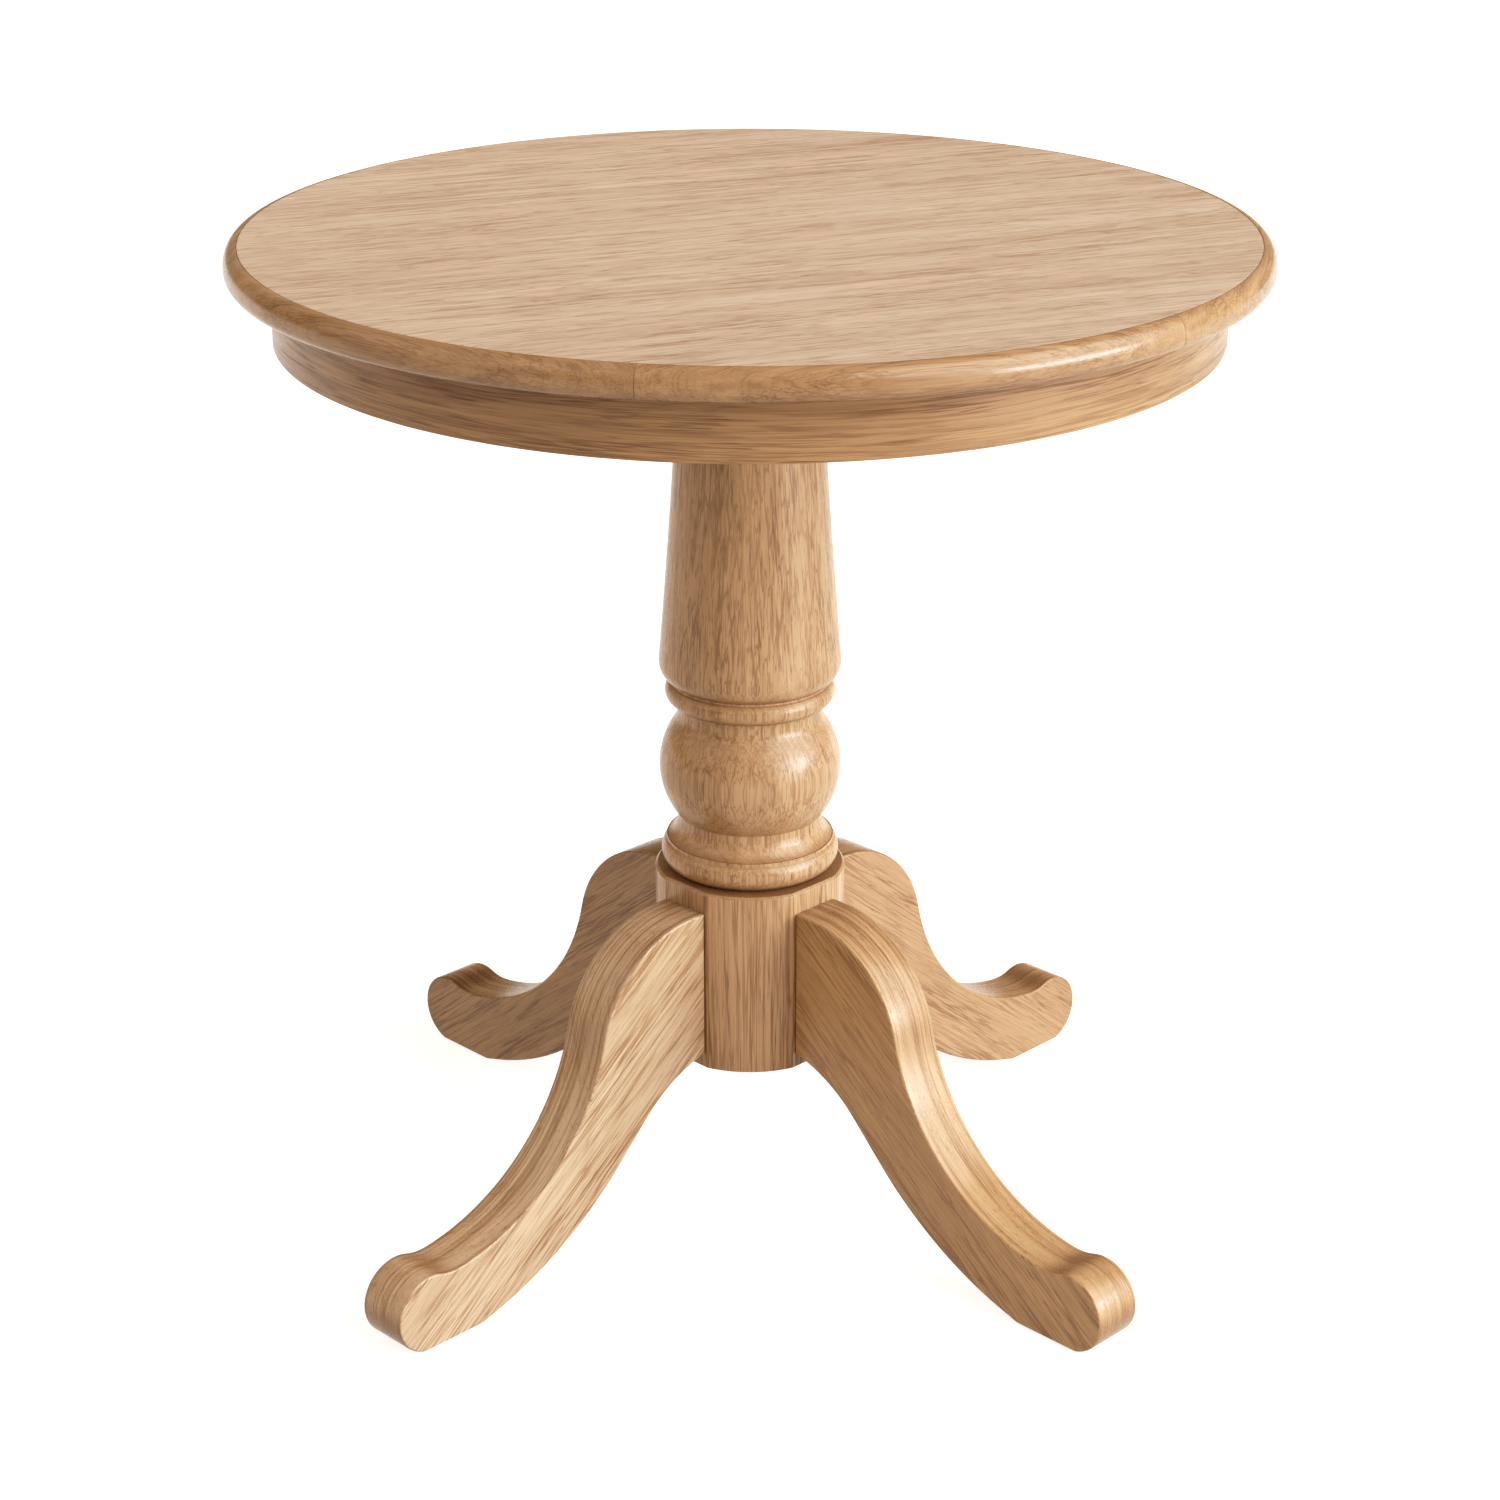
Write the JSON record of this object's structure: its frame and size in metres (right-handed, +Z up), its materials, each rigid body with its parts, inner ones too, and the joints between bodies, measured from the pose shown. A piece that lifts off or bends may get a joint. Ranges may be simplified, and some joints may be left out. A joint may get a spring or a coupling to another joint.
{
  "type": "round pedestal table",
  "caption": "Round oak pedestal table: veneered top with a bullnose rim and a round apron, on a turned column with scrolled legs.",
  "frame": {"origin": "on the floor, below the middle of the top", "axes": "+Z up through the turned column, -Y towards the front, +X to the right as seen from the front; the legs stand on the diagonals"},
  "size_m": [0.75, 0.75, 0.77],
  "materials": {
    "oak_veneer": "satin lacquer",
    "oak_backing": "matt",
    "oak_rim": "satin lacquer",
    "oak_apron": "satin lacquer",
    "oak_column": "satin lacquer",
    "oak_legs": "satin lacquer",
    "mdf": "matt",
    "softwood": "matt",
    "beech": "matt",
    "zinc_steel": "zinc plated",
    "plate_steel": "black powder coat",
    "nylon": "matt"
  },
  "bodies": {
    "root": {"top_core": "mdf", "top_veneer": "oak_veneer", "backing_veneer": "oak_backing", "rim_segment_1": "oak_rim", "rim_segment_2": "oak_rim", "rim_segment_3": "oak_rim", "rim_segment_4": "oak_rim", "rim_segment_5": "oak_rim", "rim_segment_6": "oak_rim", "apron_front_half": "oak_apron", "apron_back_half": "oak_apron", "glue_block_1": "softwood", "glue_block_2": "softwood", "glue_block_3": "softwood", "glue_block_4": "softwood", "glue_block_5": "softwood", "glue_block_6": "softwood", "glue_block_7": "softwood", "glue_block_8": "softwood", "glue_block_9": "softwood", "glue_block_10": "softwood", "glue_block_11": "softwood", "glue_block_12": "softwood", "lower_bearer": "softwood", "upper_bearer": "softwood", "bearer_screws": "zinc_steel", "column_plate": "plate_steel", "plate_to_column_screws": "zinc_steel", "plate_to_bearer_screws": "zinc_steel", "pedestal_column": "oak_column", "front_left_leg": "oak_legs", "front_right_leg": "oak_legs", "back_right_leg": "oak_legs", "back_left_leg": "oak_legs", "front_left_leg_bolts": "zinc_steel", "front_right_leg_bolts": "zinc_steel", "back_right_leg_bolts": "zinc_steel", "back_left_leg_bolts": "zinc_steel", "front_left_washers": "zinc_steel", "front_right_washers": "zinc_steel", "back_right_washers": "zinc_steel", "back_left_washers": "zinc_steel", "front_left_spring_washers": "zinc_steel", "front_right_spring_washers": "zinc_steel", "back_right_spring_washers": "zinc_steel", "back_left_spring_washers": "zinc_steel", "front_left_nuts": "zinc_steel", "front_right_nuts": "zinc_steel", "back_right_nuts": "zinc_steel", "back_left_nuts": "zinc_steel", "front_left_dowels": "beech", "front_right_dowels": "beech", "back_right_dowels": "beech", "back_left_dowels": "beech", "front_left_glide": "nylon", "front_right_glide": "nylon", "back_right_glide": "nylon", "back_left_glide": "nylon"}
  },
  "joints": []
}
